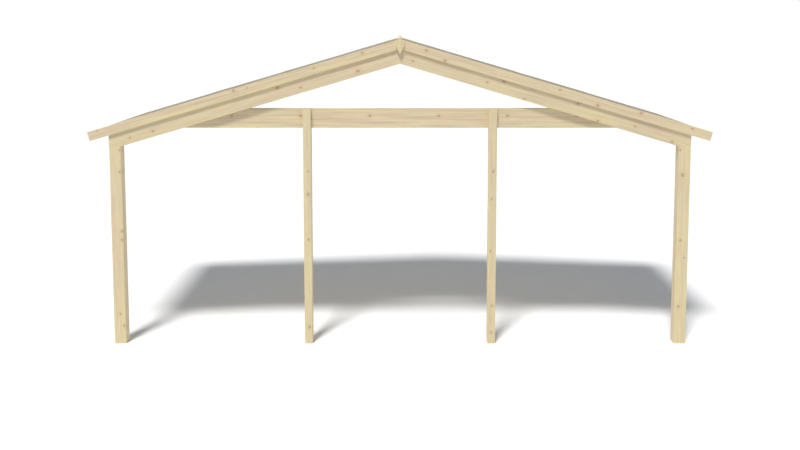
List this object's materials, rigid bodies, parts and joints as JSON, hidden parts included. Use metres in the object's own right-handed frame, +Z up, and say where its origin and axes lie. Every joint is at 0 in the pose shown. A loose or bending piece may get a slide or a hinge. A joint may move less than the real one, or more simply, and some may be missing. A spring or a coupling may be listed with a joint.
{
  "type": "patio cover",
  "caption": "Open-fronted timber patio cover with a low gable roof on slender posts, its back carried by a building's wall.",
  "frame": {"origin": "on the back faces of the wall rafters, at the middle of the gable and at mid height of their mitre at the ridge; the ground is 3.024 m below it", "axes": "+Y into the building's wall, -Y to the open front, +X to the right as seen from the front, along the gable's width, +Z up"},
  "size_m": [6.3656, 2.039, 3.176],
  "materials": {
    "post_timber": "planed, untreated",
    "frame_timber": "planed, untreated",
    "trim_timber": "planed, untreated",
    "roof_boards": "planed, untreated",
    "roofing_felt": "mineral, matt",
    "zinc_steel": "zinc coated"
  },
  "bodies": {
    "root": {"corner_post_left": "post_timber", "corner_post_right": "post_timber", "inner_post_left": "post_timber", "inner_post_right": "post_timber", "gable_rafter_left": "frame_timber", "gable_rafter_right": "frame_timber", "wall_rafter_left": "frame_timber", "wall_rafter_right": "frame_timber", "tie_beam": "frame_timber", "ridge_purlin": "frame_timber", "upper_purlin_left": "frame_timber", "upper_purlin_right": "frame_timber", "lower_purlin_left": "frame_timber", "lower_purlin_right": "frame_timber", "eaves_purlin_left": "frame_timber", "eaves_purlin_right": "frame_timber", "front_hangers": "zinc_steel", "wall_hangers": "zinc_steel", "eaves_angles": "zinc_steel", "roof_deck_left": "roof_boards", "roof_deck_right": "roof_boards", "roof_felt_left": "roofing_felt", "roof_felt_right": "roofing_felt", "eaves_board_left": "trim_timber", "eaves_board_right": "trim_timber", "barge_board_left": "trim_timber", "barge_board_right": "trim_timber", "ridge_plate": "trim_timber", "ridge_cap": "trim_timber"}
  },
  "joints": []
}
